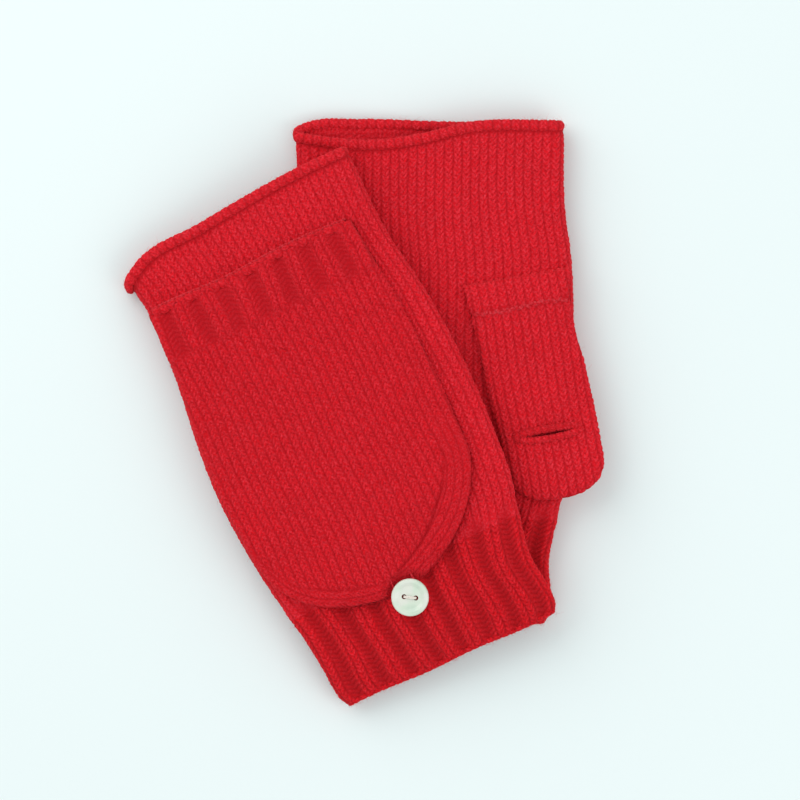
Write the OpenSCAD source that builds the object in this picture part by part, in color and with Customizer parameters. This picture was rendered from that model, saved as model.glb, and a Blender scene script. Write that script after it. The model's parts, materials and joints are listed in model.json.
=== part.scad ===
// Convertible flip-top mittens: a pair of knitted mittens laid flat, one lying across the other.
// Each mitten is a fingerless tube with a ribbed cuff, a flip-top cap that buttons back on the back of
// the hand, and a folded thumb with a slit for the thumb's tip.
// Origin: bottom centre of the pair as it lies. +Z is up from the table, +Y points to the fingers.

/* [Hand] */
// Length from the cuff's end to the finger opening
mitten_l = 200; // [196:1:206]
// Depth of the ribbed cuff
cuff_l = 40; // [36:1:42]
// Thickness of one layer of the hand's knit
knit_t = 1.5; // [1.3:0.1:1.6]
// Width of the rounded fold along each side
fold_w = 4; // [3.5:0.5:5]

/* [Cap] */
// Width of the ribbed band at the cap's mouth
cap_rib_l = 22; // [18:1:26]
// Thickness of one layer of the cap's knit
cap_t = 1.3; // [1.1:0.1:1.3]
// Room between the cap's two layers
cap_gap = 0.5; // [0.4:0.1:0.5]

/* [Thumb] */
// Distance from the thumb's crease to its tip
thumb_l = 90; // [86:1:94]
// Length of the slit that the thumb's tip comes out of
thumb_slit_l = 26; // [22:1:28]
// Thickness of one layer of the thumb's knit
thumb_t = 1.3; // [1.1:0.1:1.3]

/* [Button] */
// Diameter of the button
button_d = 15; // [14:0.5:15.5]
// Distance between the centres of the button's two holes
button_hole_pitch = 4.7; // [4:0.1:5.5]
// Diameter of each hole
button_hole_d = 2; // [1.8:0.1:2.2]

/* [Hidden] */
LEFT = 0;
RIGHT = 1;
SIDES = ["left_", "right_"];
PIECES = ["back_panel", "palm_panel", "side_folds", "cuff_back", "cuff_palm", "cuff_side_folds",
    "finger_hem_back", "finger_hem_palm", "cap_hinge_seam", "cap_back_layer", "cap_front_layer",
    "cap_rib_band", "cap_edge_fold", "button_loop", "button", "button_thread", "thumb_gusset",
    "thumb_seam", "thumb_front", "thumb_back", "thumb_side_folds", "thumb_slit_hem",
    "thumb_tip_front", "thumb_tip_back", "thumb_tip_edge"];
NODES = [for (side = SIDES, piece = PIECES) str(side, piece)];
node = "all";

// How each mitten lies: [left, right]. The left one lies back up across the right one, which lies palm up.
origin = [[33.2, -98.2], [26.4, -83.4]]; // middle of the cuff's end
turn = [25.3, 0];                        // turned in the plane of the table
pivot_x = [-8, 26.4];                    // where the heights below are taken
back_tilt = [7, 0];                      // slope of the back of the hand
palm_tilt = [8.1, 2.6];                  // slope of the palm
back_z = [21, 3.7];                      // height of the back's outer face
palm_z = [13.4, 10.8];                   // height of the palm's outer face
cuff_droop = 45;                         // the cuff bends down to the table over this length
back_bend = [-11.8, 3.7];                // by this much, outwards from the back
palm_bend = [11.8, -3.7];                // and outwards from the palm

slack = 0.05;        // between pieces that meet
hem_r = 1.2;         // radius of the rolled hem
hem_inset = 0.6;     // its middle is this far inside the outer face
red = [0.78, 0.07, 0.10];
deep_red = [0.66, 0.05, 0.08];
shell = [0.88, 0.90, 0.84];
cotton = [0.95, 0.91, 0.84];

// Half outlines of the hand, [distance from the cuff's end, distance from the middle line].
little_finger_side = [[0, -44.4], [18, -45.6], [34, -48], [40, -49.6], [48, -51.2], [66, -53.6],
    [82, -54.8], [98, -54.8], [122, -53.2], [138, -51.2], [154, -49.8], [200, -50]];
thumb_side = [[0, 46], [26, 46.8], [34, 48], [40, 50], [50, 53.4], [74, 56], [94, 56.8], [114, 56.8],
    [138, 55.2], [162, 52.8], [200, 51]];
right_spread = 3.2;  // the right mitten's fingers end is laid out wider by this on each side

// The finger opening's edge, [distance from the middle line, distance from the cuff's end].
finger_edge_back = [[[-50, 193], [-43, 198], [-15, 200.5], [29, 203], [51, 202]],
    [[-54, 196], [-47, 200], [-28, 201], [6, 200], [54, 200]]];
finger_edge_palm = [[[-50, 193], [-43, 198], [-15, 200.5], [29, 203], [51, 202]],
    [[-54, 195], [-40, 193.5], [-20, 193], [0, 196], [14, 199], [54, 200]]];

panel_stations = [0, 8, 16, 26, 42, 58, 74, 90, 106, 120, 134, 146]; // beyond the cuff

// The cap: a half ellipse at its tip, then nearly straight sides up to its mouth.
cap_round_y = 74;
cap_round_a = 49.3;
cap_round_b = 41.5;
cap_mid_x = -4.8;
cap_left = [[74, -54.1], [98, -54.8], [122, -53.2], [138, -51.2], [154, -49.8], [176, -49.6]];
cap_right = [[74, 44.5], [94, 44.8], [114, 44.8], [138, 43.6], [158, 41.6], [176, 40]];
cap_mouth_y = mitten_l - 25;
cap_hinge_y = cap_mouth_y;
cap_rib_stop = 4.6;                  // the band's solid ends this far from the hinge, so that the cap can turn
cap_lift = 0.6;                      // the cap's lower layer is this far off the hand
hinge_z = cap_lift + cap_t / 2;      // the flip-top's hinge line
cap_front_z = cap_lift + cap_t + cap_gap;
cap_edge_w = 2.6;
notch_w = 16.4;                      // a gap in the tip's fold keeps the cap clear of the button
cap_layer_y = 38.4;                  // the cap's layers end here, and the fold fills the tip below

// The thumb, folded down over the palm. Its own frame starts at the crease, y pointing away from its tip.
thumb_at = [34.5, mitten_l - 63];
thumb_lean = [-8, 10];  // the left one is tucked in under its own palm
thumb_lift = 0.3;
thumb_gap = 0.3;
thumb_front_z = thumb_lift + thumb_t + thumb_gap;
thumb_top_z = thumb_front_z + thumb_t;
thumb_seam_y = -12;
thumb_slit_y = -63;
thumb_slit_x = 2;
thumb_edge_w = 2.4;
thumb_left = [[-90, -16], [-66, -16.2], [-46, -18.6], [-18, -20], [0, -21.5]];
thumb_right = [[-90, 22], [-66, 22], [-52, 21.7], [-39, 21], [-18, 18.8], [0, 20]];
thumb_tip_round_y = -74;
thumb_hole_l = 33;
thumb_hole_w = 6;

button_at = [-2.4, 28.4];
button_turn = -31;
button_dish = 0.9;
button_z = [1.7, 3.7];               // inner and outer face, off the back of the hand
loop_r = 3.6;
loop_cord_r = 0.38;
loop_z = 1.27;
shank_r = 1.1;
thread_r = 0.4;

// ---- shared geometry ----

function spread(m, y) = m == RIGHT ? right_spread * min(1, max(0, (y - 100) / 50)) : 0;
function hand_left(m, y) = lookup(y, little_finger_side) - spread(m, y);
function hand_right(m, y) = lookup(y, thumb_side) + spread(m, y);
function cuff_curve(y) = y < cuff_droop ? pow((cuff_droop - y) / cuff_droop, 2) : 0;

// Where a point of the back (palm = false) or the palm of mitten m is in the pair's own frame.
function laid(m, x, y) = [origin[m].x + x * cos(turn[m]) - y * sin(turn[m]),
    origin[m].y + x * sin(turn[m]) + y * cos(turn[m])];
function tilted(p, z, px, pz, a) = [px + (p.x - px) * cos(a) - z * sin(a), p.y,
    pz + (p.x - px) * sin(a) + z * cos(a)];
function on_face(m, palm, x, y, z) =
    let (p = laid(m, x, y), outward = (palm ? 1 : 0) == (m == LEFT ? 1 : 0) ? -1 : 1,
        bend = (palm ? palm_bend[m] : back_bend[m]) * cuff_curve(y))
    tilted(p, outward * (z + bend), pivot_x[m], palm ? palm_z[m] : back_z[m],
        palm ? palm_tilt[m] : back_tilt[m]);

module lay(m, height, tilt, face_down) {
    translate([pivot_x[m], 0, height]) rotate([0, -tilt, 0]) translate([-pivot_x[m], 0, 0])
        mirror([0, 0, face_down ? 1 : 0]) translate([origin[m].x, origin[m].y, 0])
            rotate([0, 0, turn[m]]) children();
}

// Puts children on the outer face of the back or the palm, z pointing out of the mitten.
module on_back(m) { lay(m, back_z[m], back_tilt[m], m == RIGHT) children(); }
module on_palm(m) { lay(m, palm_z[m], palm_tilt[m], m == LEFT) children(); }
module on_thumb(m) { on_palm(m) translate(thumb_at) rotate(thumb_lean[m]) children(); }

// A closed solid through a list of cross-sections, each a list of the same number of points.
module loft(sections) {
    n = len(sections[0]);
    last = len(sections) - 1;
    points = [for (s = sections) each s];
    sides = [for (i = [0:last - 1], j = [0:n - 1]) let (k = (j + 1) % n) each
        [[i * n + j, i * n + k, (i + 1) * n + k], [i * n + j, (i + 1) * n + k, (i + 1) * n + j]]];
    ends = [for (j = [1:n - 2]) each
        [[0, j + 1, j], [last * n, last * n + j, last * n + j + 1]]];
    polyhedron(points, concat(sides, ends));
}

// A round cord along a path that stays nearly level.
module cord(path, r, sides = 8) {
    last = len(path) - 1;
    loft([for (i = [0:last])
        let (d = path[min(i + 1, last)] - path[max(i - 1, 0)], f = norm([d.x, d.y]),
            side = [-d.y / f, d.x / f, 0])
        [for (k = [0:sides - 1]) let (a = -360 * k / sides)
            path[i] + r * cos(a) * side + r * sin(a) * [0, 0, 1]]]);
}

function edge_line(edge, inset, low, high) =
    [for (p = edge) if (p.x > low && p.x < high) [p.x, p.y - inset]];

// ---- the hand ----

// One flat layer of the hand, from the cuff up to the finger opening.
module hand_layer(m, finger_edge) {
    ys = [for (s = panel_stations) cuff_l + s];
    inner = fold_w + slack;
    top = 2 * hem_r + 0.5;
    left_x = hand_left(m, mitten_l) + inner;
    right_x = hand_right(m, mitten_l) - inner;
    translate([0, 0, -knit_t]) linear_extrude(knit_t) polygon(concat(
        [for (y = ys) [hand_left(m, y) + inner, y]],
        [[left_x, lookup(left_x, finger_edge) - top]],
        edge_line(finger_edge, top, left_x + 1, right_x - 1),
        [[right_x, lookup(right_x, finger_edge) - top]],
        [for (i = [len(ys) - 1:-1:0]) [hand_right(m, ys[i]) - inner, ys[i]]]));
}

module back_panel(m) { color(red) on_back(m) hand_layer(m, finger_edge_back[m]); }

module palm_panel(m) {
    color(red) on_palm(m) difference() {
        hand_layer(m, finger_edge_palm[m]);
        translate([thumb_at.x, thumb_at.y, -knit_t - 1]) rotate(thumb_lean[m])
            translate([-thumb_hole_l / 2, -0.6 - thumb_hole_w, 0])
                cube([thumb_hole_l, thumb_hole_w, knit_t + 2]);
    }
}

// The rounded fold that joins back and palm along one side (side -1 or 1).
function fold_section(m, y, side) =
    let (out = side < 0 ? hand_left(m, y) : hand_right(m, y), in = out - side * fold_w,
        back = on_face(m, false, out, y, 0), palm = on_face(m, true, out, y, 0),
        ring = [on_face(m, false, in, y, 0), on_face(m, false, in, y, -knit_t),
            on_face(m, true, in, y, -knit_t), on_face(m, true, in, y, 0),
            palm * 0.72 + back * 0.28, palm * 0.5 + back * 0.5 + side * [0.3, 0, 0],
            palm * 0.28 + back * 0.72])
    (side < 0) != (m == LEFT) ? ring : [for (i = [len(ring) - 1:-1:0]) ring[i]];

module fold_strip(m, ys, side) { loft([for (y = ys) fold_section(m, y, side)]); }

module side_folds(m) {
    ys = concat([for (s = panel_stations) cuff_l + s], [mitten_l - 9.6]);
    color(red) for (side = [-1, 1]) fold_strip(m, ys, side);
}

cuff_ys = [for (i = [0:5]) (cuff_l - slack) * i / 5];

// A ribbed cuff layer bends down with the cuff; it is a loft of thin boxes.
module cuff_layer(m, palm) {
    inner = fold_w + slack;
    ring_of = function (y) [for (p = [[0, -knit_t], [1, -knit_t], [1, 0], [0, 0]])
        on_face(m, palm, p.x == 0 ? hand_left(m, y) + inner : hand_right(m, y) - inner, y, p.y)];
    turned = (palm ? 1 : 0) == (m == LEFT ? 1 : 0);
    color(deep_red) loft([for (y = cuff_ys) let (r = ring_of(y))
        turned ? [r[3], r[2], r[1], r[0]] : r]);
}

module cuff_side_folds(m) { color(deep_red) for (side = [-1, 1]) fold_strip(m, cuff_ys, side); }

// The rolled edge of the finger opening, along one layer.
module finger_hem(edge, z) {
    color(red) cord([for (p = edge) [p.x, p.y - hem_r, z]], hem_r);
}
module finger_hem_back(m) { on_back(m) finger_hem(finger_edge_back[m], -hem_inset); }
module finger_hem_palm(m) { on_palm(m) finger_hem(finger_edge_palm[m], -hem_inset); }

// ---- the flip-top cap ----

function cap_side(table, y, inset) = lookup(y, table) + (table == cap_left ? inset : -inset);
function cap_tip(inset) = [for (a = [180:15:360])
    [cap_mid_x - 0.2 + (cap_round_a - inset) * cos(a), cap_round_y + (cap_round_b - inset) * sin(a)]];

module cap_outline(inset, y0, y1) {
    ys = [y0, for (y = [80:16:144]) if (y > y0 + 2 && y < y1 - 2) y, y1];
    polygon(concat(
        y0 <= cap_round_y ? cap_tip(inset) : [[cap_side(cap_left, y0, inset), y0], [cap_side(cap_right, y0, inset), y0]],
        [for (y = ys) if (y > y0) [cap_side(cap_right, y, inset), y]],
        [for (i = [len(ys) - 1:-1:0]) if (ys[i] > y0) [cap_side(cap_left, ys[i], inset), ys[i]]]));
}

module below_layers() { translate([-100, -100]) square([200, 100 + cap_layer_y]); }

module cap_back_layer(m) {
    w = cap_edge_w + slack;
    color(red) on_back(m) {
        translate([0, 0, cap_lift]) linear_extrude(cap_t) difference() {
            cap_outline(w, cap_round_y, cap_hinge_y);
            below_layers();
        }
        translate([cap_side(cap_left, cap_hinge_y, w), cap_hinge_y, hinge_z]) rotate([0, 90, 0])
            cylinder(h = cap_side(cap_right, cap_hinge_y, w) - cap_side(cap_left, cap_hinge_y, w),
                r = cap_t / 2, $fn = 24);
    }
}

module cap_front_layer(m) {
    color(red) on_back(m) translate([0, 0, cap_front_z]) linear_extrude(cap_t) difference() {
        cap_outline(0.4, cap_round_y, cap_mouth_y - cap_rib_l - slack);
        below_layers();
    }
}

module cap_rib_band(m) {
    color(deep_red) on_back(m) translate([0, 0, cap_front_z]) linear_extrude(cap_t)
        cap_outline(0.4, cap_mouth_y - cap_rib_l, cap_mouth_y - cap_rib_stop);
}

// The fold that joins the cap's two layers, along its sides and round its tip.
module cap_edge_fold(m) {
    color(red) on_back(m) {
        translate([0, 0, cap_lift]) linear_extrude(cap_t + cap_gap - slack) difference() {
            cap_outline(0, cap_round_y, cap_hinge_y - 2);
            cap_outline(cap_edge_w, cap_round_y, cap_hinge_y + 5);
            below_layers();
        }
        translate([0, 0, cap_lift]) linear_extrude(cap_front_z + cap_t - cap_lift) intersection() {
            cap_outline(0, cap_round_y, cap_hinge_y);
            difference() {
                translate([0, -slack]) below_layers();
                translate([button_at.x - notch_w / 2, 0]) square([notch_w, cap_layer_y]);
            }
        }
    }
}

module cap_hinge_seam(m) {
    x0 = cap_side(cap_left, cap_hinge_y, cap_edge_w + 2);
    x1 = cap_side(cap_right, cap_hinge_y, cap_edge_w + 2);
    color(deep_red) on_back(m) translate([x0, cap_hinge_y - 1, slack]) cube([x1 - x0, 2, cap_lift - 3 * slack]);
}

// ---- the button ----

module at_button(m) { on_back(m) translate([button_at.x, button_at.y, 0]) rotate(button_turn) children(); }

module button(m) {
    r = button_d / 2;
    h = button_z[1] - button_z[0];
    color(shell) at_button(m) translate([0, 0, button_z[0]]) difference() {
        rotate_extrude($fn = 72) polygon(concat([[0, 0], [r - 1.2, 0]],
            [for (a = [-75:15:75]) [r - 0.9 + 0.9 * cos(a), h / 2 + (h / 2) * sin(a)]],
            [[r - 1.6, h], [r - 3, h - button_dish + 0.2], [0, h - button_dish]]));
        for (side = [-1, 1]) translate([side * button_hole_pitch / 2, 0, -1])
            cylinder(h = h + 2, d = button_hole_d, $fn = 24);
    }
}

module button_thread(m) {
    top = button_z[1] - button_dish;
    foot = back_bend[m] * cuff_curve(button_at.y) + 0.3;
    color(cotton) at_button(m) union() {
        for (side = [-1, 1]) translate([side * button_hole_pitch / 2, 0, button_z[0] - 0.2])
            cylinder(h = top - button_z[0] + 0.2 + thread_r, r = thread_r, $fn = 16);
        translate([-button_hole_pitch / 2, 0, top + thread_r + slack]) rotate([0, 90, 0])
            cylinder(h = button_hole_pitch, r = thread_r, $fn = 16);
        translate([-button_hole_pitch / 2, 0, button_z[0] - 0.35 - thread_r / 4]) rotate([0, 90, 0])
            cylinder(h = button_hole_pitch, r = thread_r - 0.1, $fn = 16);
        translate([0, 0, foot]) cylinder(h = button_z[0] - foot - 0.1, r = shank_r, $fn = 24);
    }
}

// The loop on the cap's tip that goes round the button's shank.
module button_loop(m) {
    ends = 10.6;                     // up to the cap's lower layer
    polar = concat([[ends, 113], [6.2, 128], [4.6, 146]], [for (a = [170:25:370]) [loop_r, a]],
        [[4.6, 394], [6.2, 412], [ends, 427]]);
    color(deep_red) on_back(m) cord([for (p = polar)
        [button_at.x + p.x * cos(p.y), button_at.y + p.x * sin(p.y), loop_z]], loop_cord_r);
}

// ---- the thumb ----

function thumb_side_at(table, y, inset) = lookup(y, table) + (table == thumb_left ? inset : -inset);

module thumb_outline(inset, y0, y1) {
    ys = [y1, for (y = [-18, -30, -42, -52]) if (y < y1 - 2 && y > y0 + 2) y, y0];
    mid = (thumb_left[0].y + thumb_right[0].y) / 2;
    a = (thumb_right[0].y - thumb_left[0].y) / 2 - inset;
    b = thumb_l + thumb_tip_round_y - inset;
    tip = [for (t = [0:15:180]) let (c = cos(t), s = sin(t))
        [mid + a * sign(c) * pow(abs(c), 0.8), thumb_tip_round_y - b * pow(s, 0.8)]];
    polygon(y0 > thumb_tip_round_y
        ? concat([for (y = ys) [thumb_side_at(thumb_right, y, inset), y]],
            [for (i = [len(ys) - 1:-1:0]) [thumb_side_at(thumb_left, ys[i], inset), ys[i]]])
        : concat([[thumb_side_at(thumb_right, y1, inset), y1]], tip,
            [[thumb_side_at(thumb_left, y1, inset), y1]]));
}

slit_lip_r = 0.9;
slit_gape = 1.3;                     // how far each lip bows away from the slit's line
slit_cut = slit_gape + 2 * slit_lip_r + 0.3;

module thumb_slit_cut() {
    translate([thumb_slit_x - thumb_slit_l / 2 - 1, thumb_slit_y - slit_cut, 0])
        square([thumb_slit_l + 2, 2 * slit_cut]);
}

// The band between the crease and the thumb's first row of stitches.
module thumb_gusset(m) {
    w = thumb_side_at(thumb_right, 0, 2) - thumb_side_at(thumb_left, 0, 2);
    color(red) on_thumb(m) {
        translate([0, 0, thumb_front_z]) linear_extrude(thumb_t) thumb_outline(0, thumb_seam_y + 1 + slack, 0);
        translate([thumb_side_at(thumb_left, 0, 2), 0, thumb_front_z + thumb_t / 2]) rotate([0, 90, 0])
            cylinder(h = w, r = thumb_t / 2, $fn = 24);
    }
}

module thumb_seam(m) {
    color(deep_red) on_thumb(m) translate([0, 0, thumb_front_z]) linear_extrude(thumb_t + 0.15)
        thumb_outline(0.2, thumb_seam_y - 1, thumb_seam_y + 1);
}

module thumb_front(m) {
    color(red) on_thumb(m) translate([0, 0, thumb_front_z]) linear_extrude(thumb_t) difference() {
        thumb_outline(thumb_edge_w + slack, thumb_slit_y + 0.1, thumb_seam_y - 1 - slack);
        thumb_slit_cut();
    }
}

module thumb_back(m) {
    color(red) on_thumb(m) translate([0, 0, thumb_lift]) linear_extrude(thumb_t)
        thumb_outline(thumb_edge_w + slack, thumb_slit_y - 0.7, thumb_seam_y + 4);
}

module thumb_side_folds(m) {
    color(red) on_thumb(m) translate([0, 0, thumb_lift]) linear_extrude(thumb_top_z - thumb_lift)
        difference() {
            thumb_outline(0, thumb_slit_y - 0.1, thumb_seam_y - 1 - slack);
            thumb_outline(thumb_edge_w, thumb_slit_y - 1, thumb_seam_y);
        }
}

// The rolled lips of the slit: one on the thumb, one on its tip.
module slit_lip(side) {
    steps = 8;
    cord([for (i = [0:steps]) let (u = i / steps)
        [thumb_slit_x + (u - 0.5) * thumb_slit_l,
            thumb_slit_y + side * (slit_lip_r + 0.15 + slit_gape * sin(180 * u)), thumb_top_z - 0.4]],
        slit_lip_r);
}

module thumb_slit_hem(m) { color(red) on_thumb(m) slit_lip(1); }

module thumb_tip_front(m) {
    color(red) on_thumb(m) translate([0, 0, thumb_front_z]) linear_extrude(thumb_t) difference() {
        thumb_outline(thumb_edge_w + slack, -thumb_l, thumb_slit_y - 0.5);
        thumb_slit_cut();
    }
    color(red) on_thumb(m) slit_lip(-1);
}

module thumb_tip_back(m) {
    color(red) on_thumb(m) translate([0, 0, thumb_lift]) linear_extrude(thumb_t)
        thumb_outline(thumb_edge_w + slack, -thumb_l, thumb_slit_y - 1.3);
}

module thumb_tip_edge(m) {
    color(red) on_thumb(m) translate([0, 0, thumb_lift]) linear_extrude(thumb_top_z - thumb_lift)
        difference() {
            thumb_outline(0, -thumb_l, thumb_slit_y - 1.3);
            thumb_outline(thumb_edge_w, -thumb_l, thumb_slit_y + 3);
        }
}

// ---- nodes ----

for (m = [LEFT, RIGHT]) {
    name = m == LEFT ? "left_" : "right_";
    wanted = function (piece) node == "all" || node == str(name, piece);
    if (wanted("back_panel")) back_panel(m);
    if (wanted("palm_panel")) palm_panel(m);
    if (wanted("side_folds")) side_folds(m);
    if (wanted("cuff_back")) cuff_layer(m, false);
    if (wanted("cuff_palm")) cuff_layer(m, true);
    if (wanted("cuff_side_folds")) cuff_side_folds(m);
    if (wanted("finger_hem_back")) finger_hem_back(m);
    if (wanted("finger_hem_palm")) finger_hem_palm(m);
    if (wanted("cap_hinge_seam")) cap_hinge_seam(m);
    if (wanted("cap_back_layer")) cap_back_layer(m);
    if (wanted("cap_front_layer")) cap_front_layer(m);
    if (wanted("cap_rib_band")) cap_rib_band(m);
    if (wanted("cap_edge_fold")) cap_edge_fold(m);
    if (wanted("button_loop")) button_loop(m);
    if (wanted("button")) button(m);
    if (wanted("button_thread")) button_thread(m);
    if (wanted("thumb_gusset")) thumb_gusset(m);
    if (wanted("thumb_seam")) thumb_seam(m);
    if (wanted("thumb_front")) thumb_front(m);
    if (wanted("thumb_back")) thumb_back(m);
    if (wanted("thumb_side_folds")) thumb_side_folds(m);
    if (wanted("thumb_slit_hem")) thumb_slit_hem(m);
    if (wanted("thumb_tip_front")) thumb_tip_front(m);
    if (wanted("thumb_tip_back")) thumb_tip_back(m);
    if (wanted("thumb_tip_edge")) thumb_tip_edge(m);
}
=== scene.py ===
# %% [markdown]
# # A pair of convertible mittens
# Two knitted mittens lie flat, the left one across the right. Each is a fingerless tube with a ribbed
# cuff. A flip-top cap is folded back and buttoned over the back of the hand, and the thumb has a slit.
# This lesson builds them in Blender on a frame of simple solids, stitch by stitch.
#
# First the frame is loaded. It already holds every solid at its real size and place, with its joints,
# so it is the only source of positions. Sizes on cloth are easiest to read in millimetres.

# %% Load the frame
import json
import bpy
import numpy as np
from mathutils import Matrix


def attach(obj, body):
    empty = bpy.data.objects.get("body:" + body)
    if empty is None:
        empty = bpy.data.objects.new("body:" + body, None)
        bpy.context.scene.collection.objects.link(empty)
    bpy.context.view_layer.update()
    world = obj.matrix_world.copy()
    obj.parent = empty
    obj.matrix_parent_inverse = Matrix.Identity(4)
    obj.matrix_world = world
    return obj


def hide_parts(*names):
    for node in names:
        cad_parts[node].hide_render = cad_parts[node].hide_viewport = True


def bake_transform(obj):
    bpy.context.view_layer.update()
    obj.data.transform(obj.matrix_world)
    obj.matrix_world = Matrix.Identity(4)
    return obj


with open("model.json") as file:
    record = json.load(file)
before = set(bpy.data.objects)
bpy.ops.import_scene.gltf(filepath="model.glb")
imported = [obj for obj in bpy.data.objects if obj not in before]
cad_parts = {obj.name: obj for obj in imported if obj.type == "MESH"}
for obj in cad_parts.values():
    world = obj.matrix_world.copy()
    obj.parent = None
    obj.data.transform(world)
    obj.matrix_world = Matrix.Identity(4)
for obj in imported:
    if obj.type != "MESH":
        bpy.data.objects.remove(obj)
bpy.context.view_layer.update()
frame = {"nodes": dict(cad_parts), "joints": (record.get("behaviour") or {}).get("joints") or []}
JOINT = {joint["name"]: joint for joint in frame["joints"]}
MM = 0.001

# %% [markdown]
# ## The camera comes first
# The pair is seen from straight above, as on a sorting table. A long lens from 1.5 m keeps the sides
# of the mittens out of sight, where a short one would lean them outwards.

# %% Camera
VIEW_W = 320                      # width of table that the camera takes in
VIEW_AT = (14.4, 4.6)             # the middle of the view, a little up and to the right
CAMERA_H = 1500


def hang_camera():
    data = bpy.data.cameras.new("camera")
    data.sensor_width = 36
    data.lens = 36 * CAMERA_H / VIEW_W
    camera = bpy.data.objects.new("camera", data)
    camera.location = (VIEW_AT[0] * MM, VIEW_AT[1] * MM, (CAMERA_H + 12) * MM)
    bpy.context.collection.objects.link(camera)
    bpy.context.scene.camera = camera
    return camera


print("lens:", round(hang_camera().data.lens), "mm")

# %% [markdown]
# ## Where each mitten lies
# A mitten could be modelled flat at the origin and then moved. The two lie at different slopes, though,
# and the cap and thumb have to meet their hinges exactly. So each mitten reads its place from its own
# joints: the cap's hinge gives the line across the back, the button's axis points straight out of it,
# and the two hinges of the thumb give the palm. A point is then named in millimetres: across the hand,
# along it from the cuff's end, and out of the face.

# %% Read the mittens' places from the joints
HINGE = (-5, 175, 1.25)           # the cap's hinge in the back's own measure
THUMB_AT = (34.5, 137)            # middle of the thumb's crease on the palm
THUMB_LEAN = {"left": -8, "right": 10}
CREASE_H, SLIT_Y, SLIT_H = 2.55, -63, 3.2
CUFF_DROOP = 45                   # the cuff bends down to the table over this length
CUFF_BEND = {"left": 11.8, "right": -3.7}


def unit(v):
    return np.asarray(v, float) / np.linalg.norm(v)


def cuff_curve(y):
    return np.clip((CUFF_DROOP - y) / CUFF_DROOP, 0, None) ** 2


def swell(x, y):
    """Cloth that lies loose is never quite flat: a slow rise and fall of half a millimetre."""
    return 0.45 * np.sin(x / 15 + 1.1) * np.sin(y / 21 + 0.4) + 0.25 * np.sin(x / 8.5 + y / 13)


class Mitten:
    """One mitten's back, palm and thumb as places to lay cloth on."""

    def __init__(self, side):
        self.side = side
        self.turned = 1 if side == "left" else -1      # the right mitten lies palm up, as a mirror image
        hinge, button = JOINT[side + "_cap_flip"], JOINT[side + "_button_turn"]
        self.out = unit(button["axis"])
        along = np.array(hinge["pos_m"]) - np.array(button["pos_m"])
        for other in (self.out, unit(hinge["axis"])):
            along = along - other * (along @ other)
        self.along = unit(along)
        self.across = self.turned * np.cross(self.along, self.out)
        self.start = (np.array(hinge["pos_m"]) / MM - HINGE[0] * self.across
                      - HINGE[1] * self.along - HINGE[2] * self.out)
        self.read_palm()

    def read_palm(self):
        fold, tip = JOINT[self.side + "_thumb_fold"], JOINT[self.side + "_thumb_tip_fold"]
        thumb_x = unit(fold["axis"])
        thumb_x = thumb_x * np.sign(thumb_x @ self.across)
        down = unit(np.array(fold["pos_m"]) - np.array(tip["pos_m"]))
        up = -self.turned * np.cross(thumb_x, down)
        rise = SLIT_H - CREASE_H
        thumb_y, self.palm_out = unit(-SLIT_Y * down + rise * up), unit(-SLIT_Y * up - rise * down)
        lean = np.radians(THUMB_LEAN[self.side])
        self.palm_across = np.cos(lean) * thumb_x - np.sin(lean) * thumb_y
        self.palm_along = np.sin(lean) * thumb_x + np.cos(lean) * thumb_y
        self.palm_start = (np.array(fold["pos_m"]) / MM - THUMB_AT[0] * self.palm_across
                           - THUMB_AT[1] * self.palm_along - CREASE_H * self.palm_out)

    def place(self, start, across, along, out, x, y, z):
        x, y, z = np.broadcast_arrays(x, y, z)
        return (start + x[..., None] * across + y[..., None] * along + z[..., None] * out) * MM

    def back(self, x, y, z=0.0):
        z = z + swell(x, y) - CUFF_BEND[self.side] * cuff_curve(y)
        return self.place(self.start, self.across, self.along, self.out, x, y, z)

    def button_plane(self, x, y, z):
        """The flat plane of the button, without the swell and bend of the cloth below it."""
        return self.place(self.start, self.across, self.along, self.out, x, y, z)

    def palm(self, x, y, z=0.0):
        z = z + swell(x + 40, y) + CUFF_BEND[self.side] * cuff_curve(y)
        return self.place(self.palm_start, self.palm_across, self.palm_along, self.palm_out, x, y, z)

    def thumb(self, x, y, z=0.0):
        lean = np.radians(THUMB_LEAN[self.side])
        return self.palm(THUMB_AT[0] + x * np.cos(lean) - y * np.sin(lean),
                         THUMB_AT[1] + x * np.sin(lean) + y * np.cos(lean), z)


MITTENS = [Mitten("left"), Mitten("right")]
for mitten in MITTENS:
    print(mitten.side, "cuff starts at", mitten.start.round(1), "and its back faces", mitten.out.round(2))

# %% [markdown]
# ## The outlines
# A flat mitten has a soft outline that a few measured widths fix. Straight lines between them would
# show as corners, so a smooth curve runs through them. The cap ends in a half ellipse and the thumb in
# a squarer round, and both are formulas.

# %% Outlines of the hand, cap and thumb
MITTEN_L, CUFF_L = 200, 40
LITTLE_FINGER_SIDE = [(-4, -43.6), (2, -46), (18, -47), (34, -48.6), (48, -51.5), (66, -54.2), (90, -56),
                      (122, -54.4), (146, -51.4), (170, -50), (205, -51.4)]
THUMB_SIDE = [(-4, 44.6), (2, 46.8), (26, 47), (40, 50), (50, 53.4), (74, 56), (104, 57), (138, 54.6),
              (162, 51.2), (205, 50.4)]
RIGHT_SPREAD = 3.2                # the right mitten's finger end is laid out a little wider
LEFT_CORNER = 2.6                 # the left one's corner at the little finger is pulled out
FINGER_EDGE = {
    "left": {"back": [(-55, 189), (-43, 196.6), (-15, 199.4), (29, 202.4), (53, 202)],
             "palm": [(-55, 189), (-43, 196.6), (-15, 199.4), (29, 202.4), (53, 202)]},
    "right": {"back": [(-54, 197), (-47, 200), (-28, 201), (6, 200), (54, 200)],
              "palm": [(-54, 196), (-40, 193.5), (-20, 192.6), (0, 195.5), (14, 199), (54, 200)]}}
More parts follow.
